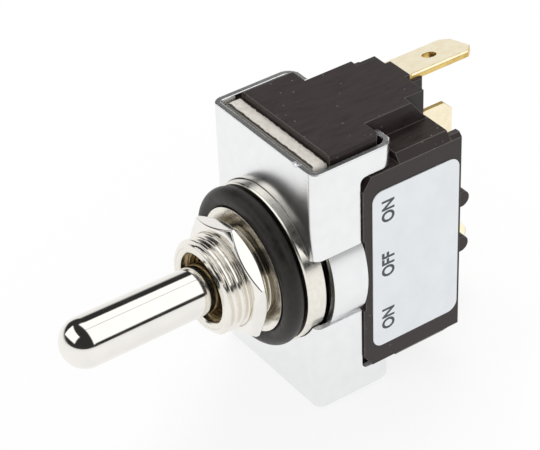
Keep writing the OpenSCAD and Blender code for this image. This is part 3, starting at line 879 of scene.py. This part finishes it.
# %% [markdown]
# ## The steel bracket
# The bracket is one strip folded round the front and both sides, with tabs curled over the case and a
# band that bows out on each side. Its corners come from the engineering shape. Tumbling before the
# plating rounded its rims, and each rounding carries a thin bright line. The sheared edges between the
# rims stay rough, so they get the duller finish.

# %% Bracket
bracket = fresh_copy("steel_bracket", "folded_bracket", 0.06, segments=3, rim_mm=0.14)
bracket.data.materials.append(bright_zinc)
bracket.data.materials.append(sheared_zinc)
set_solid(bracket)
below_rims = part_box("steel_bracket")[1].z - 0.3 * mm
for face in bracket.data.polygons:
    if abs(face.normal.z) > 0.9 and abs(face.center.z) < below_rims:
        face.material_index = 1
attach(bracket, "switch")
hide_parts("steel_bracket")
print("bracket faces:", len(bracket.data.polygons))

# %% [markdown]
# ## The moulded case
# A copy of the engineering shape with small radii on its edges. The radii carry the paler edge finish,
# a thin light line along its corners that is partly scraped wear and partly a painted highlight.

# %% Case
case = fresh_copy("base_case", "moulded_base", 0.06, segments=2, edge_slot=1)
case.data.materials.append(moulded_case)
case.data.materials.append(case_edge_wear_and_highlight)
set_solid(case)
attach(case, "switch")
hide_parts("base_case")
print("case faces:", len(case.data.polygons))

# %% [markdown]
# ## The brass tabs
# Three push-on tabs are punched from brass strip. Punching rounds one edge and tears the other, so the
# edge has its own rougher finish, darkened and turned more orange by painted shade. A tab's tip is cut
# back at its corners to lead the receptacle on.

# %% Tabs
tabs = []
for node_name, name in (("terminal_top", "upper_tab"), ("terminal_common", "common_tab"),
                        ("terminal_bottom", "lower_tab")):
    tab = fresh_copy(node_name, name, 0.045, segments=2, edge_slot=1)
    tab.data.materials.append(tab_brass)
    tab.data.materials.append(tab_edge_painted_shade)
    set_solid(tab)
    mark_cut_faces(tab, max(tab.data.polygons, key=lambda face: face.area).normal.copy())
    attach(tab, "switch")
    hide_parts(node_name)
    tabs.append(tab)
print("tabs:", [tab.name for tab in tabs])

# %% [markdown]
# ## The spring in the lever
# A compression spring is a wire that follows a helix. Geometry Nodes have a spiral curve for the path
# and a circle for the wire, so the coil is four nodes with the real radius, wire and number of turns as
# named inputs.

# %% Coil spring
def coil_tree():
    tree = bpy.data.node_groups.new("coil_spring", "GeometryNodeTree")
    tree.interface.new_socket("Geometry", in_out="OUTPUT", socket_type="NodeSocketGeometry")
    for name in ("Coil Radius", "Wire Radius", "Turns", "Front", "Length"):
        tree.interface.new_socket(name, in_out="INPUT", socket_type="NodeSocketFloat")
    tree.interface.new_socket("Finish", in_out="INPUT", socket_type="NodeSocketMaterial")
    given = tree.nodes.new("NodeGroupInput").outputs
    path = tree.nodes.new("GeometryNodeCurveSpiral")
    path.inputs["Resolution"].default_value = 28
    tree.links.new(given["Turns"], path.inputs["Rotations"])
    tree.links.new(given["Coil Radius"], path.inputs["Start Radius"])
    tree.links.new(given["Coil Radius"], path.inputs["End Radius"])
    tree.links.new(given["Length"], path.inputs["Height"])
    wire = tree.nodes.new("GeometryNodeCurvePrimitiveCircle")
    wire.inputs["Resolution"].default_value = 12
    tree.links.new(given["Wire Radius"], wire.inputs["Radius"])
    sweep = tree.nodes.new("GeometryNodeCurveToMesh")
    sweep.inputs["Fill Caps"].default_value = True
    tree.links.new(path.outputs[0], sweep.inputs["Curve"])
    tree.links.new(wire.outputs[0], sweep.inputs["Profile Curve"])
    lay = tree.nodes.new("GeometryNodeTransform")
    lay.inputs["Rotation"].default_value = (-math.pi / 2, 0, 0)
    front = tree.nodes.new("ShaderNodeCombineXYZ")
    tree.links.new(given["Front"], front.inputs[1])
    tree.links.new(front.outputs[0], lay.inputs["Translation"])
    real = tree.nodes.new("GeometryNodeRealizeInstances")
    paint = tree.nodes.new("GeometryNodeSetMaterial")
    tree.links.new(given["Finish"], paint.inputs["Material"])
    for a, b in ((sweep.outputs[0], lay.inputs[0]), (lay.outputs[0], real.inputs[0]),
                 (real.outputs[0], paint.inputs[0]),
                 (paint.outputs[0], tree.nodes.new("NodeGroupOutput").inputs[0])):
        tree.links.new(a, b)
    return tree


wire_radius = 0.18
spring_front, spring_back = 1.9, 6.6
spring = grow("plunger_spring", coil_tree(), Coil_Radius=1.12 * mm, Wire_Radius=wire_radius * mm, Turns=5.0,
              Front=(spring_front + wire_radius) * mm,
              Length=(spring_back - spring_front - 2 * wire_radius) * mm, Finish=spring_steel)
spring.data.shade_smooth()
spring.data.set_sharp_from_angle(angle=math.radians(50))
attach(spring, "lever")
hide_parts("lever_spring")
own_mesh(spring)
print("spring box, mm:", [round(v / mm, 2) for v in spring.dimensions])

# %% [markdown]
# ## The print on the label
# The film keeps its engineering shape. Beside its front edge the three places of the lever are printed,
# reading upwards: ON, OFF and ON. The words are text objects made into a mesh before they are placed, a
# hundredth of a millimetre thick, and laid on the film.

# %% Print
cap_height = 1.9
narrow = 0.82
letter_foot = 13.0 + cap_height


def printed_word(words):
    """A word's flat mesh: how far each point is up its letters and along its run, in mm, and its faces."""
    curve = bpy.data.curves.new("word", "FONT")
    curve.body = words
    curve.align_x = "CENTER"
    curve.resolution_u = 6
    curve.offset = 0.03
    holder = bpy.data.objects.new("word", curve)
    bpy.context.scene.collection.objects.link(holder)
    mesh = as_plain_mesh(holder)
    bpy.data.objects.remove(holder)
    heights = [v.co.y for v in mesh.vertices]
    size = cap_height / (max(heights) - min(heights))
    points = [((v.co.y - min(heights)) * size, v.co.x * size * narrow) for v in mesh.vertices]
    return points, [tuple(p.vertices) for p in mesh.polygons]


def label_print():
    face_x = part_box("label")[1].x / mm
    points, faces = [], []
    for word, middle_z in (("ON", 8.35), ("OFF", 0.5), ("ON", -7.65)):
        flat, cells = printed_word(word)
        first = len(points)
        points += [(face_x + 0.012, letter_foot - up, middle_z + run) for up, run in flat]
        faces += [tuple(first + i for i in cell) for cell in cells]
    mesh = bpy.data.meshes.new("label_print")
    mesh.from_pydata([(x * mm, y * mm, z * mm) for x, y, z in points], [], faces)
    bm = bmesh.new()
    bm.from_mesh(mesh)
    bmesh.ops.remove_doubles(bm, verts=bm.verts, dist=0.0005 * mm)
    raised = bmesh.ops.extrude_face_region(bm, geom=bm.faces[:])["geom"]
    for v in (g for g in raised if isinstance(g, bmesh.types.BMVert)):
        v.co.x -= 0.010 * mm
    bmesh.ops.recalc_face_normals(bm, faces=bm.faces)
    bm.to_mesh(mesh)
    bm.free()
    mesh.materials.append(label_ink)
    piece = bpy.data.objects.new("label_print", mesh)
    bpy.context.scene.collection.objects.link(piece)
    return piece


words = label_print()
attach(words, "switch")
print("print faces:", len(words.data.polygons))

# %% [markdown]
# ## Pieces that keep their engineering shape
# The pivot pin, the washer, the retaining ring, the plunger, the rocker, the contacts and the label
# film are right as they were drawn. They are left untouched and only get their finish.

# %% Finish the kept pieces
kept = {
    "label": label_film, "lever_pin": pin_steel, "gland_washer": washer_brass,
    "retaining_ring": washer_brass, "plunger": plunger_nylon, "rocker": rocker_copper,
    "moving_contact_top": contact_silver, "moving_contact_bottom": contact_silver,
    "fixed_contact_top": contact_silver, "fixed_contact_bottom": contact_silver,
}
for node_name, finish in kept.items():
    data = nodes[node_name].data
    data.materials.clear()
    data.materials.append(finish)
print("kept pieces:", sorted(kept))
